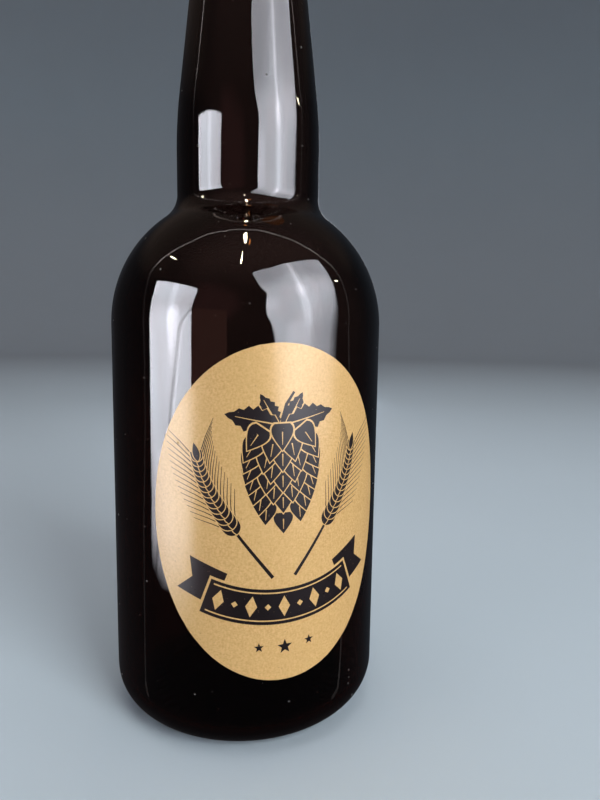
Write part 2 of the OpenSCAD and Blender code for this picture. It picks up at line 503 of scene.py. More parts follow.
def make_label():
    """One sheet of paper on the glass. Its front is cut along the printing, so that ink and paper
    are separate faces."""
    shapes = [(cut_oval(LABEL_W, LABEL_H), PAPER)]
    shapes += [(stepped(shape, EDGE_STEP), tone) for shape, tone in label_print()]
    points, loops = [], []
    for shape, tone in shapes:
        loops.append(list(range(len(points), len(points) + len(shape))))
        points += [Vector(p) for p in shape]
    across, up = (ceil(size / 2 / FILL_STEP) for size in (LABEL_W, LABEL_H))
    for i in range(-across, across + 1):
        for j in range(-up, up + 1):
            x, y = i * FILL_STEP, j * FILL_STEP
            if (2 * x / (LABEL_W - MARGIN)) ** 2 + (2 * y / (LABEL_H - MARGIN)) ** 2 < 1:
                points.append(Vector((x, y)))
    flat, _, faces, _, _, from_faces = delaunay_2d_cdt(points, [], loops, 1, JOIN_WITHIN, True)

    mesh = bmesh.new()
    front = [mesh.verts.new(on_bottle(p.x, p.y, GLUE_T + LABEL_T)) for p in flat]
    back = [mesh.verts.new(on_bottle(p.x, p.y, GLUE_T)) for p in flat]
    seen = {}
    for face, inside in zip(faces, from_faces):
        if 0 not in inside:
            continue
        a, b, c = face
        up = (flat[b] - flat[a]).cross(flat[c] - flat[a]) > 0
        face = face if up else [a, c, b]
        made = mesh.faces.new([front[k] for k in face])
        made.material_index = shapes[max(inside)][1]
        made.smooth = True
        under = mesh.faces.new([back[k] for k in reversed(face)])
        under.smooth = True
        for p, q in zip(face, face[1:] + face[:1]):
            seen[(p, q)] = made
    for p, q in seen:
        if (q, p) not in seen:
            mesh.faces.new([front[q], front[p], back[p], back[q]])
            for pair in ((front[p], front[q]), (back[p], back[q])):
                mesh.edges.get(pair).smooth = False
    bmesh.ops.delete(mesh, geom=[v for v in mesh.verts if not v.link_faces], context="VERTS")
    data = bpy.data.meshes.new("paper_label")
    mesh.to_mesh(data)
    mesh.free()
    return new_object("paper_label", data)


# ---- the cap and its liner

CAP_ROWS = 10           # down the rounded edge, and again down the skirt
FLUTE_STEPS = 16
EDGE_FLUTE = 0.04       # the share of a flute's depth at the foot of the rounded edge
FLUTE_SHARPNESS = 1.4
WEAR_SHARPNESS = 3
RIM_WEAR_FROM = 0.86    # down the skirt
LINER_STEPS = 128
SEAL_GROOVE_H = 0.12


def cap_face(inset):
    """One side of the tinplate from the middle to the foot: radius, height, share of the flute."""
    rows = [(r, CAP_TOP_Z - inset, 0) for r in (3, 6, 8.5, 10.2)]
    edge = arc(CAP_EDGE_C, CAP_EDGE_R - inset, 90, 0, 90 / CAP_ROWS)
    rows += [(r, z, EDGE_FLUTE * i / CAP_ROWS) for i, (r, z) in enumerate(edge)]
    for i in range(1, CAP_ROWS + 1):
        down = i / CAP_ROWS
        z = CAP_EDGE_C[1] + (CAP_FOOT_Z - CAP_EDGE_C[1]) * down
        rows.append((VALLEY_R - inset, z, EDGE_FLUTE + (1 - EDGE_FLUTE) * down))
    return rows


def make_cap():
    """The fluted tinplate shell, with an attribute that says where its lacquer is rubbed."""
    rows = cap_face(0) + cap_face(PLATE_T)[::-1]
    outline = [(0, CAP_TOP_Z)] + [(r, z) for r, z, share in rows] + [(0, CAP_TOP_Z - PLATE_T)]
    around = FLUTES * FLUTE_STEPS
    angles = even_turns(around)

    def crest(angle, sharpness):
        return (0.5 + 0.5 * cos(angle * FLUTES)) ** sharpness

    def place(r, z, angle, i):
        return r + FLUTE_OUT * rows[i][2] * crest(angle, FLUTE_SHARPNESS), z

    cap = turned("crown_shell", outline, angles, place)
    wear = cap.data.attributes.new("wear", "FLOAT", "POINT")
    half = len(rows) // 2
    for i, (r, z, share) in enumerate(rows):
        foot = smooth(RIM_WEAR_FROM, 1, share)
        corner = max(0, 1 - abs(r - CAP_EDGE_C[0] - 1.2) / 0.8) if share < 0.03 else 0
        for j, angle in enumerate(angles):
            outside = max(foot, crest(angle, WEAR_SHARPNESS) * share, 0.5 * corner)
            wear.data[i * around + j].value = outside if i < half else 0.4 * foot
    return cap


def make_liner():
    """The sealing disc: a web over the mouth, a grooved seat on the lip, and a rounded rim."""
    seal_r = BORE_R + MOUTH_EDGE_R
    edge_r = CAP_EDGE_R - PLATE_T - LINER_GAP
    foot = degrees(asin((BOTTLE_H - CAP_EDGE_C[1]) / edge_r))
    under = [(r, LINER_HOLLOW) for r in (0, 3, 6, seal_r - 0.6)]
    under += [(seal_r - 0.3, LINER_HOLLOW - 0.08), (seal_r - 0.1, 0.06), (seal_r + 0.15, 0)]
    under += [(10.4, 0), (10.6, SEAL_GROOVE_H), (10.9, SEAL_GROOVE_H), (11.1, 0), (12.3, 0)]
    outline = [(r, BOTTLE_H + above_lip) for r, above_lip in under]
    outline += arc(CAP_EDGE_C, edge_r, foot, 90, 8)
    outline += [(8, BOTTLE_H + LINER_T), (0, BOTTLE_H + LINER_T)]
    return turned("sealing_liner", outline, even_turns(LINER_STEPS), lambda r, z, angle, i: (r, z))


# ---- shared effects

def new_group(name, values, output):
    """A node group with a Vector and named values in and one number out, and its inner sockets."""
    group = bpy.data.node_groups.new(name, "ShaderNodeTree")
    group.interface.new_socket(name="Vector", in_out="INPUT", socket_type="NodeSocketVector")
    for socket, value in values.items():
        made = group.interface.new_socket(name=socket, in_out="INPUT", socket_type="NodeSocketFloat")
        made.default_value = value
    group.interface.new_socket(name=output, in_out="OUTPUT", socket_type="NodeSocketFloat")
    given, out = group.nodes.new("NodeGroupInput"), group.nodes.new("NodeGroupOutput")
    return group, given.outputs, out.inputs[0]


def node(tree, kind, links=(), **values):
    """A node with values on its sockets or properties. links pairs a socket with what feeds it."""
    made = tree.nodes.new("ShaderNode" + kind)
    for name, value in values.items():
        if hasattr(made, name):
            setattr(made, name, value)
        else:
            made.inputs[name.replace("_", " ")].default_value = value
    for socket, source in links:
        tree.links.new(source, made.inputs[socket])
    return made


def math_node(tree, operation, a, b=0.0, c=0.0, clamp=False):
    """An operation on numbers or sockets."""
    made = node(tree, "Math", operation=operation, use_clamp=clamp)
    for i, value in enumerate((a, b, c)):
        if isinstance(value, (int, float)):
            made.inputs[i].default_value = value
        else:
            tree.links.new(value, made.inputs[i])
    return made.outputs[0]


def times(tree, a, b):
    """One value times another."""
    return math_node(tree, "MULTIPLY", a, b)


def scaled(tree, value, by, plus=0.0, clamp=False):
    """A value times another, plus a third."""
    return math_node(tree, "MULTIPLY_ADD", value, by, plus, clamp)


def mixed(tree, mask, a, b):
    """Colour a where the mask is 0 and colour b where it is 1."""
    made = node(tree, "Mix", data_type="RGBA")
    for socket, value in ((0, mask), (6, a), (7, b)):
        if isinstance(value, (int, float)):
            made.inputs[socket].default_value = value
        elif isinstance(value, tuple):
            made.inputs[socket].default_value = (*value, 1)
        else:
            tree.links.new(value, made.inputs[socket])
    return made.outputs[2]


def noise_node(tree, place, scale, detail):
    """Soft noise, 0 to 1. Its scale is a number or a socket."""
    made = node(tree, "TexNoise", [("Vector", place)], Detail=detail)
    if isinstance(scale, (int, float)):
        made.inputs["Scale"].default_value = scale
    else:
        tree.links.new(scale, made.inputs["Scale"])
    return made.outputs[0]


def stretched(tree, place, scale):
    """The coordinates, scaled apart along each axis."""
    made = node(tree, "Mapping", [("Vector", place)])
    made.inputs["Scale"].default_value = scale
    return made.outputs[0]


def gap(tree, value, at):
    """How far a value is from another, either way."""
    return math_node(tree, "ABSOLUTE", math_node(tree, "SUBTRACT", value, at))


def ramp(tree, value, low, high, at_low=0.0, at_high=1.0, kind="SMOOTHSTEP"):
    """Runs smoothly from at_low to at_high while the value goes from low to high."""
    made = node(tree, "MapRange", [("Value", value)], interpolation_type=kind)
    for key, end in (("From Min", low), ("From Max", high), ("To Min", at_low), ("To Max", at_high)):
        made.inputs[key].default_value = end
    return made.outputs[0]


def speck_group():
    """Sparse small specks of dust or dirt: a mask that is 1 on a speck."""
    group, given, out = new_group("specks", {"Scale": 300, "Size": 0.12, "Share": 0.1}, "Mask")
    sources = [("Vector", given["Vector"]), ("Scale", given["Scale"])]
    cells = node(group, "TexVoronoi", sources)
    chance = node(group, "SeparateColor", [("Color", cells.outputs["Color"])])
    picked = math_node(group, "LESS_THAN", chance.outputs[0], given["Share"])
    size = times(group, chance.outputs[1], given["Size"])
    near = math_node(group, "LESS_THAN", cells.outputs["Distance"], size)
    group.links.new(times(group, picked, near), out)
    return group


def mottle_group():
    """Soft unevenness at two scales, about 0.5 in the middle."""
    group, given, out = new_group("mottle", {"Coarse": 60, "Fine": 900, "Share": 0.5}, "Value")
    wide = noise_node(group, given["Vector"], given["Coarse"], 3)
    tight = noise_node(group, given["Vector"], given["Fine"], 2)
    blend = node(group, "Mix", [(0, given["Share"]), (2, wide), (3, tight)])
    group.links.new(blend.outputs[0], out)
    return group


def kraft_group():
    """The grain of kraft paper, about 0.5 in the middle: fibres one way and a weave the other."""
    group, given, out = new_group("kraft_grain", {"Fibre": 2300, "Weave": 1900}, "Value")
    fibre = noise_node(group, stretched(group, given["Vector"], (0.8, 0.8, 1.3)), given["Fibre"], 1)
    weave = noise_node(group, stretched(group, given["Vector"], (1.3, 1.3, 0.8)), given["Weave"], 1)
    group.links.new(times(group, math_node(group, "ADD", fibre, weave), 0.5), out)
    return group


PLACE_VALUES = ("Across", "Up", "Width", "Height", "Gain")


def bright_place_group():
    """A brighter place on lit cloth: its gain in the middle, fading to 0 a width or height away."""
    group, given, out = new_group("bright_place", dict.fromkeys(PLACE_VALUES, 0.1), "Value")
    axes = node(group, "SeparateXYZ", [("Vector", given["Vector"])]).outputs
    wide = math_node(group, "DIVIDE", gap(group, axes[0], given["Across"]), given["Width"])
    tall = math_node(group, "DIVIDE", gap(group, axes[2], given["Up"]), given["Height"])
    away = scaled(group, wide, wide, times(group, tall, tall))
    group.links.new(times(group, ramp(group, away, 0, 1, 1, 0), given["Gain"]), out)
    return group


SPECKS = speck_group()
MOTTLE = mottle_group()
KRAFT = kraft_group()
BRIGHT_PLACE = bright_place_group()


def placed(tree, group, place, **values):
    """One use of a shared effect in a material, with its own values."""
    made = node(tree, "Group", node_tree=group)
    tree.links.new(place, made.inputs["Vector"])
    for name, value in values.items():
        made.inputs[name].default_value = value
    return made.outputs[0]


def new_material(name):
    """A material with its tree, its Principled shader and the piece's own coordinates."""
    material = bpy.data.materials.new(name)
    material.use_nodes = True
    tree = material.node_tree
    shader = tree.nodes["Principled BSDF"]
    place = node(tree, "TexCoord").outputs["Object"]
    return material, tree, shader, place


def bump(tree, shader, height, distance, strength=1.0):
    """Fine relief on a shader, of a height in metres."""
    made = node(tree, "Bump", [("Height", height)], Strength=strength, Distance=distance)
    tree.links.new(made.outputs[0], shader.inputs["Normal"])


# ---- materials

MICRON = 1e-6
# The dust colour and DUST_GLOW make the dust specks on the glass glow faintly: painted light on the
# dust, not a lamp.
CLEAR, NO_GLOW, DUST_PAINTED_LIGHT = (1, 1, 1), (0, 0, 0), (0.9, 0.86, 0.82)
DUST_GLOW = 0.035
GLASS_IOR = 1.52
GLASS_BROWN, GLASS_DEPTH = (0.4, 0.15, 0.05), 1300
KRAFT_DARK, KRAFT_LIGHT, KRAFT_CLOUD = (0.585, 0.342, 0.117), (0.79, 0.502, 0.213), (0.69, 0.434, 0.171)
KRAFT_FLECK = (0.3, 0.17, 0.07)
INK_DEEP, INK_FADED, INK_PORE = (0.006, 0.004, 0.005), (0.014, 0.01, 0.011), (0.3, 0.2, 0.1)
GOLD_DEEP, GOLD_LIGHT, GOLD_SPOT = (0.5, 0.315, 0.085), (0.66, 0.45, 0.15), (0.16, 0.08, 0.03)
BARE_TIN = (0.55, 0.53, 0.5)
LINER_DEEP, LINER_LIGHT = (0.7, 0.69, 0.63), (0.82, 0.81, 0.76)
FLOOR_DEEP, FLOOR_LIGHT = (0.44, 0.54, 0.61), (0.49, 0.59, 0.66)


def settings(shader, **values):
    """Values that are the same all over a piece, on its shader's own sockets."""
    for name, value in values.items():
        shader.inputs[name.replace("_", " ")].default_value = value


def roughness(tree, shader, mask, reach, least):
    """Roughness from a least value, rising with a mask."""
    tree.links.new(scaled(tree, mask, reach, least), shader.inputs["Roughness"])


def brown_glass():
    """Dark brown bottle glass, with a faint film of handling on its gloss and a little dust, whose
    specks glow faintly with painted light.
    """
    material, tree, shader, place = new_material("brown_bottle_glass")
    film = placed(tree, MOTTLE, place, Coarse=45, Fine=420, Share=0.35)
    dust = placed(tree, SPECKS, place, Scale=560, Size=0.15, Share=0.09)
    rough = scaled(tree, dust, 0.6, times(tree, film, 0.03), clamp=True)
    tree.links.new(rough, shader.inputs["Roughness"])
    # Where there is dust, the glass glows faintly in the dust colour: painted light on the specks. The
    # same mask also makes the dust rough, which is real.
    tree.links.new(mixed(tree, dust, NO_GLOW, DUST_PAINTED_LIGHT), shader.inputs["Emission Color"])
    settings(shader, Base_Color=(*CLEAR, 1), Metallic=0, Transmission_Weight=1, IOR=GLASS_IOR,
             Emission_Strength=DUST_GLOW)
    seeds = placed(tree, MOTTLE, place, Coarse=120, Fine=700, Share=0.2)
    bump(tree, shader, seeds, 10 * MICRON)
    tint = node(tree, "VolumeAbsorption", Density=GLASS_DEPTH)
    tint.inputs["Color"].default_value = (*GLASS_BROWN, 1)
    tree.links.new(tint.outputs[0], tree.nodes["Material Output"].inputs["Volume"])
    return material


def kraft_paper():
    """Satin kraft paper: light fibres in a darker pulp, clouded, with a few dark flecks."""
    material, tree, shader, place = new_material("kraft_paper_face")
    grain = placed(tree, KRAFT, place, Fibre=2300, Weave=1900)
    sharp = scaled(tree, grain, 2.7, -0.85, clamp=True)
    tone = mixed(tree, sharp, KRAFT_DARK, KRAFT_LIGHT)
    cloud = placed(tree, MOTTLE, place, Coarse=70, Fine=500, Share=0.3)
    tone = mixed(tree, scaled(tree, cloud, 1.6, -0.45, clamp=True), tone, KRAFT_CLOUD)
    flecks = placed(tree, SPECKS, place, Scale=1500, Size=0.3, Share=0.05)
    tone = mixed(tree, times(tree, flecks, 0.3), tone, KRAFT_FLECK)
    tree.links.new(tone, shader.inputs["Base Color"])
    roughness(tree, shader, grain, 0.05, 0.235)
    settings(shader, Specular_IOR_Level=0.47)
    bump(tree, shader, grain, 10 * MICRON, 0.5)
    return material


def black_ink():
    """Black printing ink on the same grain, thin where the paper's pores show through."""
    material, tree, shader, place = new_material("black_print")
    grain = placed(tree, KRAFT, place, Fibre=2300, Weave=1900)
    pores = math_node(tree, "GREATER_THAN", grain, 0.68)
    faded = placed(tree, MOTTLE, place, Coarse=90, Fine=900, Share=0.4)
    tone = mixed(tree, faded, INK_DEEP, INK_FADED)
    tone = mixed(tree, times(tree, pores, 0.4), tone, INK_PORE)
    tree.links.new(tone, shader.inputs["Base Color"])
    roughness(tree, shader, grain, 0.14, 0.23)
    settings(shader, Specular_IOR_Level=0.25)
    bump(tree, shader, grain, 10 * MICRON, 0.5)
    return material


def gold_tinplate():
    """Gold-lacquered tinplate: brushed by rolling, and rubbed to bare tin on its crests and rim."""
    material, tree, shader, place = new_material("gold_lacquered_tinplate")
    streaks = noise_node(tree, stretched(tree, place, (1, 14, 1)), 420, 3)
    rub = node(tree, "Attribute", attribute_name="wear")
    patchy = placed(tree, MOTTLE, place, Coarse=500, Fine=2600, Share=0.5)
    uneven = scaled(tree, patchy, 2.4, -2.1)
    worn = scaled(tree, rub.outputs["Fac"], 1.5, uneven, clamp=True)
    lacquer = mixed(tree, streaks, GOLD_DEEP, GOLD_LIGHT)
    spots = placed(tree, SPECKS, place, Scale=900, Size=0.3, Share=0.03)
    lacquer = mixed(tree, times(tree, spots, 0.6), lacquer, GOLD_SPOT)
    tree.links.new(mixed(tree, worn, lacquer, BARE_TIN), shader.inputs["Base Color"])
    roughness(tree, shader, worn, 0.15, scaled(tree, streaks, 0.16, 0.2))
    settings(shader, Metallic=0.9, Coat_Weight=0.35, Coat_Roughness=0.12)
    bump(tree, shader, streaks, 20 * MICRON, 0.5)
    return material


def liner_compound():
    """Pale sealing compound, faintly clouded and a little translucent."""
    material, tree, shader, place = new_material("pale_sealing_compound")
    cloud = placed(tree, MOTTLE, place, Coarse=260, Fine=1800, Share=0.4)
    tree.links.new(mixed(tree, cloud, LINER_DEEP, LINER_LIGHT), shader.inputs["Base Color"])
    roughness(tree, shader, cloud, 0.2, 0.34)
    settings(shader, Subsurface_Weight=0.15, Subsurface_Radius=(0.0006, 0.0005, 0.0004))
    bump(tree, shader, cloud, 50 * MICRON, 0.4)
    return material


# ---- the object

bottle = make_bottle()
bottle.data.materials.append(brown_glass())
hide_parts("bottle_glass")
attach(bottle, "bottle")

label = make_label()
label.data.materials.append(kraft_paper())
label.data.materials.append(black_ink())
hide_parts("front_label")
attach(label, "bottle")

cap = make_cap()
cap.data.materials.append(gold_tinplate())
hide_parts("crown_cap")
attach(cap, "cap")

liner = make_liner()
liner.data.materials.append(liner_compound())
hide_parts("cap_liner")
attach(liner, "cap")


# ---- camera

CAMERA_TURN = 13.36     # degrees round the bottle from the label's middle, to its left
CAMERA_AWAY = 156.6
CAMERA_H = 93.8
LOOK_RIGHT = 18.22      # degrees from the +Y direction
LOOK_DOWN = 7.06
CAMERA_ROLL = 0.85
LENS = 28.0
SENSOR_W = 36
CLIP_START = 0.005


def make_camera():
    """The camera, close to the bottle and a little above its middle."""
    turn = radians(CAMERA_TURN)
    camera = new_object("camera", bpy.data.cameras.new("camera"))
    camera.data.lens = LENS
    camera.data.sensor_width = SENSOR_W
    camera.data.clip_start = CLIP_START
    look = Matrix.Rotation(-radians(LOOK_RIGHT), 4, "Z")
    look @= Matrix.Rotation(radians(90 - LOOK_DOWN), 4, "X")
    look @= Matrix.Rotation(radians(CAMERA_ROLL), 4, "Z")
    at = Vector((-CAMERA_AWAY * sin(turn), -CAMERA_AWAY * cos(turn), CAMERA_H)) * MM
    camera.matrix_world = Matrix.Translation(at) @ look
    bpy.context.scene.camera = camera


# ---- the stage

def toward(azimuth, away, height):
    """A place round the bottle, in metres. Azimuth 0 is in front of the label and 90 to its right."""
    a = radians(azimuth)
    return Vector((sin(a) * away, -cos(a) * away, height))


def make_floor():
    """A plain pale floor that curves up into a wall all round."""
    flat_r, curve_r, wall_top, rings, around = 1.6, 0.9, 3, 12, 96
    outline = [(flat_r * i / rings, 0) for i in range(1, rings)]
    outline += arc((flat_r, curve_r), curve_r, -90, 0, 3) + [(flat_r + curve_r, wall_top)]
    verts, faces = [(0, 0, 0)], []
    for r, z in outline:
        verts += [(*on_circle((0, 0), r, turn), z) for turn in even_turns(around)]
    for j in range(around):
        k = (j + 1) % around
        faces.append((0, 1 + j, 1 + k))
        for i in range(len(outline) - 1):
            a = 1 + i * around
            faces.append((a + j, a + around + j, a + around + k, a + k))
    mesh = new_mesh("studio_floor", verts, faces)
    mesh.shade_smooth()
    floor = new_object("studio_floor", mesh)
    material, tree, shader, place = new_material("pale_studio_floor")
    cloud = placed(tree, MOTTLE, place, Coarse=2, Fine=9, Share=0.3)
    tree.links.new(mixed(tree, cloud, FLOOR_DEEP, FLOOR_LIGHT), shader.inputs["Base Color"])
    settings(shader, Roughness=0.8)
    mesh.materials.append(material)
    floor.visible_glossy = False


def glow(name, strength, tint=(1, 1, 1)):
    """A plain glowing material. A piece's own "glow" attribute, 0 to 1, fades it until it is clear."""
    material = bpy.data.materials.new(name)
    material.use_nodes = True
    tree = material.node_tree
    tree.nodes.clear()
    out = node(tree, "OutputMaterial")
    emit = node(tree, "Emission")
    emit.inputs["Color"].default_value = (*tint, 1)
    emit.inputs["Strength"].default_value = strength
    fade = node(tree, "Attribute", attribute_name="glow")
    clear = node(tree, "BsdfTransparent")
    sources = [(0, fade.outputs["Fac"]), (1, clear.outputs[0]), (2, emit.outputs[0])]
    tree.links.new(node(tree, "MixShader", sources).outputs[0], out.inputs["Surface"])
    return material, tree, emit


def cloth_glow(name, strength, seams, broad, places, fades, fold=None):
    """Lit diffuser cloth, in metres. seams are (across, lean, half width, gain, foot, full height);
    broad is (half width, gain) of the glow round the last seam; places are brighter ones; fades are
    (share of across, share of up, low, high, at low, at high); fold is (foot, slope, width, depth)."""
    material, tree, emit = glow(name, 1)
    place = node(tree, "TexCoord").outputs["Object"]
    axes = node(tree, "SeparateXYZ", [("Vector", place)])
    across, up = axes.outputs[0], axes.outputs[2]
    lit = 1
    for seam_at, lean, seam_w, seam_gain, seam_low, seam_high in seams:
        off = gap(tree, scaled(tree, up, lean, across), seam_at)
        line = ramp(tree, off, 0, seam_w, seam_gain, 0, "SMOOTHERSTEP")
        lit = scaled(tree, line, ramp(tree, up, seam_low, seam_high), lit)
    lit = math_node(tree, "ADD", lit, ramp(tree, off, 0, broad[0], broad[1], 0))
    for values in places:
        bright = placed(tree, BRIGHT_PLACE, place, **dict(zip(PLACE_VALUES, values)))
        lit = math_node(tree, "ADD", lit, bright)
    if fold:
        foot, slope, width, depth = fold
        past = math_node(tree, "SUBTRACT", across, scaled(tree, up, slope, foot))
        for at, gain in ((0, -depth), (width * 1.2, depth * 0.6)):
            lit = math_node(tree, "ADD", lit, ramp(tree, gap(tree, past, at), 0, width, gain, 0))
    for of_across, of_up, low, high, at_low, at_high in fades:
        leaning = scaled(tree, up, of_up, times(tree, across, of_across))
        lit = times(tree, lit, ramp(tree, leaning, low, high, at_low, at_high))
    folds = placed(tree, MOTTLE, stretched(tree, place, (2.2, 1, 0.7)), Coarse=5, Fine=16, Share=0.3)
    lit = times(tree, lit, times(tree, scaled(tree, folds, 0.7, 0.65), strength))
    hues = placed(tree, MOTTLE, place, Coarse=7, Fine=12, Share=0.3)
    hue = mixed(tree, scaled(tree, hues, 3, -1, clamp=True), CLOTH_BLUE, CLOTH_ROSE)
    shaded = node(tree, "VectorMath", [(0, hue), ("Scale", lit)], operation="SCALE")
    tree.links.new(shaded.outputs[0], emit.inputs["Color"])
    return material


def set_glow(mesh, values):
    """A mesh's share of its material's glow, point by point."""
    mesh.attributes.new("glow", "FLOAT", "POINT").data.foreach_set("value", values)


def hide_from(piece, *rays):
    """Keep a piece out of what some kinds of ray see."""
    for ray in rays:
        setattr(piece, f"visible_{ray}", False)


def glossy_only(piece):
    """A piece of the stage that shows only in gloss, as a light does in a dark room."""
    hide_from(piece, "camera", "diffuse", "transmission", "volume_scatter", "shadow")


def card(name, azimuth, away, outline, material):
    """An upright card that the gloss of the glass shows. Its outline holds the distance across,
    the height and the width of the soft edge at each corner, in millimetres."""
    middle = Vector((sum(p[0] for p in outline), sum(p[1] for p in outline))) / len(outline)
    outer, inner = [], []
    for across, up, soft in outline:
        corner = Vector((across, up))
        inward = (middle - corner).normalized() * soft
        outer.append((across * MM, 0, up * MM))
        inner.append(((across + inward.x) * MM, 0, (up + inward.y) * MM))
    count = len(outline)
    rim = [(i, (i + 1) % count, count + (i + 1) % count, count + i) for i in range(count)]
    mesh = new_mesh(name, outer + inner, rim + [tuple(range(count, 2 * count))])
    set_glow(mesh, [0.0] * count + [1.0] * count)
    mesh.materials.append(material)
    sheet = new_object(name, mesh)
    sheet.location = toward(azimuth, away, 0)
    sheet.rotation_euler = (0, 0, radians(azimuth))
    glossy_only(sheet)


def lamp(name, place, target, size, power):
    """A soft lamp that lights the object but doesn't show in its gloss."""
    data = bpy.data.lights.new(name, "AREA")
    data.shape = "RECTANGLE"
    data.size, data.size_y = size
    data.energy = power
    made = new_object(name, data)
    made.location = place
    made.rotation_euler = (Vector(target) - Vector(place)).to_track_quat("-Z", "Y").to_euler()
    hide_from(made, "camera", "glossy", "transmission")


def ribbon_of_light(name, directions, away, width, material):
    """A narrow glowing hoop through directions: azimuth, elevation and share of the glow."""
    heart = Vector(HOOP_HEART)
    points = []
    for azimuth, elevation, part in directions:
        e = radians(elevation)
        points.append(toward(azimuth, away * cos(e), away * sin(e)) + heart)
    verts, faces, glows = [], [], []
    for i, point in enumerate(points):
        before, after = points[max(0, i - 1)], points[min(len(points) - 1, i + 1)]
        across = (after - before).cross(point - heart).normalized() * width / 2
        verts += [tuple(point - across), tuple(point + across)]
        glows += [directions[i][2]] * 2
    for i in range(len(points) - 1):
        faces.append((2 * i, 2 * i + 1, 2 * i + 3, 2 * i + 2))
    mesh = new_mesh(name, verts, faces)
    set_glow(mesh, glows)
    mesh.materials.append(material)
    glossy_only(new_object(name, mesh))


def bulb(name, start, end, radius, material):
    """A small bare bulb or lamp tube between two places, in metres."""
    start, end = Vector(start), Vector(end)
    middle, along = (start + end) / 2, end - start
    half = along.length / 2
    axis = along.normalized() if half else Vector((0, 0, 1))
    mesh = bpy.data.meshes.new(name)
    ball = bmesh.new()
    bmesh.ops.create_icosphere(ball, subdivisions=3, radius=1)
    for vert in ball.verts:
        vert.co = middle + vert.co * radius + axis * (vert.co.dot(axis) * half)
    ball.to_mesh(mesh)
    ball.free()
    set_glow(mesh, [1.0] * len(mesh.vertices))
    mesh.materials.append(material)
    glossy_only(new_object(name, mesh))


# Corners of the cards: across, up and soft edge, in millimetres
LEFT_CARD = [
    (-98, -30, 12), (-102, -50, 20), (-102, -66, 28), (-96, -80, 34), (-40, -90, 34), (127, -90, 20),
    (127, 74, 4), (125, 180, 4), (136, 240, 4), (134, 268, 4), (15, 262, 4), (-105, 258, 4),
    (-96, 178, 5), (-94, 74, 6), (-97, 3, 8)]
RIGHT_CARD = [
    (-186, 20, 40), (-200, 76, 16), (-214, 90, 12), (-254, 160, 8), (-262, 222, 8), (-245, 315, 8),
    (-306, 411, 6), (-340, 500, 6), (-372, 580, 6), (-350, 606, 6), (-179, 562, 6), (18, 556, 6),
    (284, 575, 10), (282, 411, 12), (270, 302, 14), (250, 194, 40), (232, 120, 70), (216, 60, 80),
    (190, -30, 80), (0, -60, 70), (-150, -40, 60)]
LOW_WALL = [(-110, -180, 6), (110, -180, 6), (108, 185, 14), (-110, 185, 14)]
HIGH_WALL = [
    (-130, 120, 60), (150, 120, 60), (230, 230, 90), (190, 340, 110), (40, 390, 120), (-130, 380, 110)]
# A card that the bottle itself hides from the front, for the gloss of its back
BACK_CARD = [
    (-122, -300, 20), (122, -300, 20), (122, 150, 20), (66, 262, 20), (48, 450, 20), (-48, 450, 20),
    (-66, 262, 20), (-122, 150, 20)]
# Hoops of the light tent: azimuth, elevation and share of the glow, seen from their heart
HOOP_HEART = (-0.005, -0.02, 0.112)
TENT_FRONT = [
    (-106, -41, 0.05), (-110, -39, 0.06), (-110, -34, 0.06), (-109, -24, 0.06), (-105, -13, 0.06),
    (-105, -6, 0.07), (-106, 6, 0.06), (-110, 19, 0.05), (-114, 26, 0.15), (-114, 29, 0.35),
    (-113, 32, 0.7), (-112, 36, 1), (-109, 42, 1), (-107, 47, 1), (-104, 52, 0.95), (-102, 57, 0.9),
    (-101, 62, 0.9), (-100, 67, 0.9), (-96, 72, 0.85), (-89, 76, 0.85), (-83, 81, 0.8), (-57, 85, 0.8),
    (2, 86, 0.8), (45, 83, 0.8), (54, 78.5, 0.9), (60, 74, 0.9), (65, 69, 0.95), (69, 64, 1),
    (71, 59, 1), (73, 54, 1), (76, 48, 1), (78, 42, 0.9), (81, 36, 0.6), (82, 31, 0.3), (82, 24, 0.15),
    (80, 13, 0.12), (78, -3, 0.12), (80, -8, 0.12), (82, -16, 0.1), (83, -24, 0.1), (79, -32, 0.1),
    (77.5, -36, 0.1), (77, -38.5, 0.1), (74, -40.5, 0.08), (68, -42, 0.06)]
TENT_VENT = [
    (-158, 62, 1), (-165, 59.5, 1), (-171, 58, 1), (-176, 59, 1), (178, 62, 1), (164, 68, 0.6),
    (150, 66, 1), (148, 58, 1), (143, 57, 1), (135, 61, 1), (127, 66, 1), (118, 75, 0.8),
    (126, 82, 0.6), (-177, 84, 0.6), (-144, 78.5, 0.7), (-148, 71, 0.9), (-153, 65, 1), (-158, 62, 1)]
# Bulbs overhead: both ends in metres, and radius
BULBS = [
    ((-0.039, -0.095, 0.707), (-0.068, -0.194, 0.683), 0.011),
    ((-0.11, -0.285, 0.64), (-0.141, -0.372, 0.58), 0.006),
    ((-0.448, 0.108, 0.513), (-0.457, 0.03, 0.517), 0.004),
    ((0.514, -0.175, 0.397), (0.531, -0.143, 0.382), 0.0035),
    ((-0.002, 0.05, 0.711), (0.002, 0.066, 0.709), 0.01),
    ((0.032, 0.193, 0.679), (0.046, 0.235, 0.66), 0.01)]
AMBER_BULBS = [
    ((-0.03, -0.185, 0.76), (-0.05, -0.255, 0.742), 0.007),
    ((-0.15, -0.4, 0.675), (-0.165, -0.435, 0.65), 0.005),
    ((-0.016, -0.008, 0.713), (-0.017, -0.002, 0.713), 0.006)]
AMBER_SHADE = ((0.148, 0.085, 0.685), (0.148, 0.12, 0.68), 0.07)

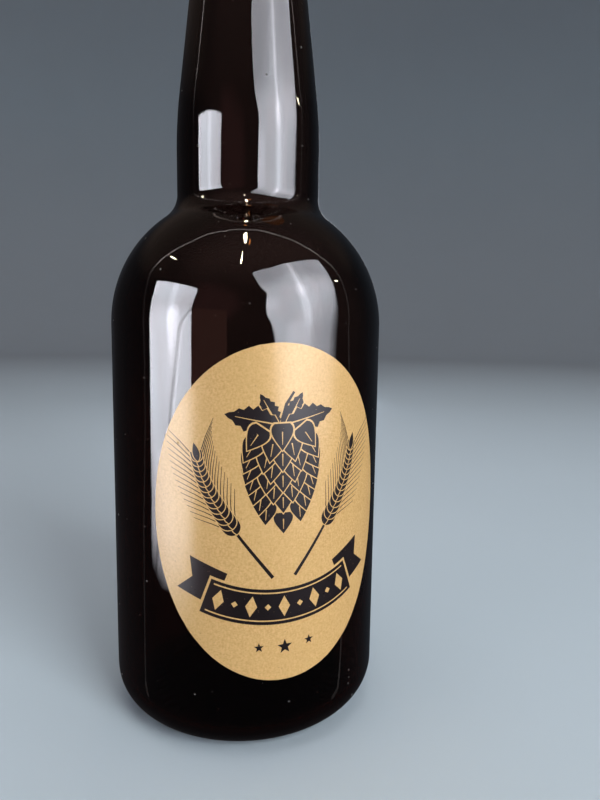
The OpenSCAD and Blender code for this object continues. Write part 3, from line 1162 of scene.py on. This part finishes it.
# Colours of the stage's lights
CLOTH_BLUE, CLOTH_ROSE, BACK_CLOTH = (0.87, 0.915, 1.01), (0.94, 0.905, 0.99), (0.9, 0.91, 1)
LOW_WALL_RED, HIGH_WALL_RED = (1, 0.46, 0.38), (1, 0.48, 0.46)
TENT_WARM, VENT_WARM = (1, 0.9, 0.88), (1, 0.8, 0.72)
BARE_BULB, AMBER_BULB, AMBER_CLOTH = (1, 0.86, 0.58), (1, 0.33, 0.08), (1, 0.38, 0.18)
# Colours of the room's air, as gloss shows it
AIR_DARK, AIR_LOFTY = (0.027, 0.025, 0.028), (0.1, 0.075, 0.065)
AIR_WARM, AIR_BEHIND = (0.3, 0.185, 0.165), (0.032, 0.037, 0.046)


def make_world():
    """The dim room round the stage, as gloss shows it: warm in front and overhead, else dark."""
    world = bpy.data.worlds.new("studio_air")
    bpy.context.scene.world = world
    world.use_nodes = True
    tree = world.node_tree
    place = node(tree, "TexCoord").outputs["Generated"]
    right, back, up = node(tree, "SeparateXYZ", [("Vector", place)]).outputs
    warm = times(tree, ramp(tree, back, 0.4, -0.45), ramp(tree, up, -0.35, 0.1))
    warm = times(tree, warm, ramp(tree, up, 0.45, 0.9, 0.33, 1))
    lofty = times(tree, ramp(tree, up, 0.36, 0.58), ramp(tree, back, -0.1, 0.3))
    air = mixed(tree, warm, mixed(tree, lofty, AIR_DARK, AIR_LOFTY), AIR_WARM)
    behind = scaled(tree, right, 0.5, times(tree, back, 0.87))
    air = mixed(tree, ramp(tree, behind, 0.55, 0.95), air, AIR_BEHIND)
    tree.links.new(air, tree.nodes["Background"].inputs["Color"])
    tree.nodes["Background"].inputs["Strength"].default_value = 1


def make_stage():
    """The floor, the cards, hoops and bulbs that the gloss shows, and the lamps."""
    make_floor()
    left_cloth = cloth_glow(
        "left_cloth", 11.5,
        seams=[(0.021, 0.02, 0.03, 0.22, 0.04, 0.1)], broad=(0.11, 0.05),
        places=[(0.035, 0.118, 0.042, 0.064, 0.7), (0, 0.095, 0.25, 0.085, 0.26)],
        fades=[(1, 0, 0.04, 0.14, 1, 0.92), (0, 1, 0.18, 0.24, 1, 1.1), (1, 0.9, -0.12, -0.05, 0.5, 1)],
        fold=(-0.008, 0.8, 0.013, 0.45))
    right_cloth = cloth_glow(
        "right_cloth", 10.4,
        seams=[(0.02, 0.09, 0.016, 0.4, 0.22, 0.32), (0.02, 0.09, 0.045, 0.42, 0.08, 0.14)],
        broad=(0.17, 0.12),
        places=[(-0.008, 0.3, 0.055, 0.05, 0.3), (-0.2, 0.235, 0.06, 0.06, 0.22),
                (-0.05, 0.085, 0.1, 0.06, 0.24), (-0.035, 0.43, 0.07, 0.07, 0.2)],
        fades=[(0, 1, 0.3, 0.47, 1, 0.6), (1, 0, -0.05, 0.02, 0.95, 1),
               (1, -0.9, -0.18, 0.12, 1, 0.46)])
    card("left_softbox", -78.5, 0.313, LEFT_CARD, left_cloth)
    card("right_softbox", 33.5, 0.4, RIGHT_CARD, right_cloth)
    card("low_wall", -43.5, 0.41, LOW_WALL, glow("low_wall_light", 0.42, LOW_WALL_RED)[0])
    card("high_wall", -43.5, 0.415, HIGH_WALL, glow("high_wall_light", 0.27, HIGH_WALL_RED)[0])
    card("back_softbox", 162, 0.6, BACK_CARD, glow("back_cloth", 3, BACK_CLOTH)[0])
    ribbon_of_light("tent_front", TENT_FRONT, 0.5, 0.009, glow("tent_front_light", 2.4, TENT_WARM)[0])
    ribbon_of_light("tent_vent", TENT_VENT, 0.5, 0.007, glow("tent_vent_light", 0.9, VENT_WARM)[0])
    warm = glow("bare_bulb_light", 90, BARE_BULB)[0]
    for i, ends in enumerate(BULBS):
        bulb(f"bulb_{i + 1}", *ends, warm)
    amber = glow("amber_bulb_light", 9, AMBER_BULB)[0]
    for i, ends in enumerate(AMBER_BULBS):
        bulb(f"amber_bulb_{i + 1}", *ends, amber)
    bulb("amber_shade", *AMBER_SHADE, glow("amber_shade_light", 0.32, AMBER_CLOTH)[0])
    middle = (0, 0, 0.08)
    lamp("right_lamp", toward(21, 1.0, 0.6), middle, (0.5, 0.8), 11.2)
    lamp("top_lamp", (0, 0.1, 1.4), middle, (1.2, 1.2), 7)


make_camera()
make_world()
make_stage()
bpy.context.scene.view_settings.view_transform = "Standard"
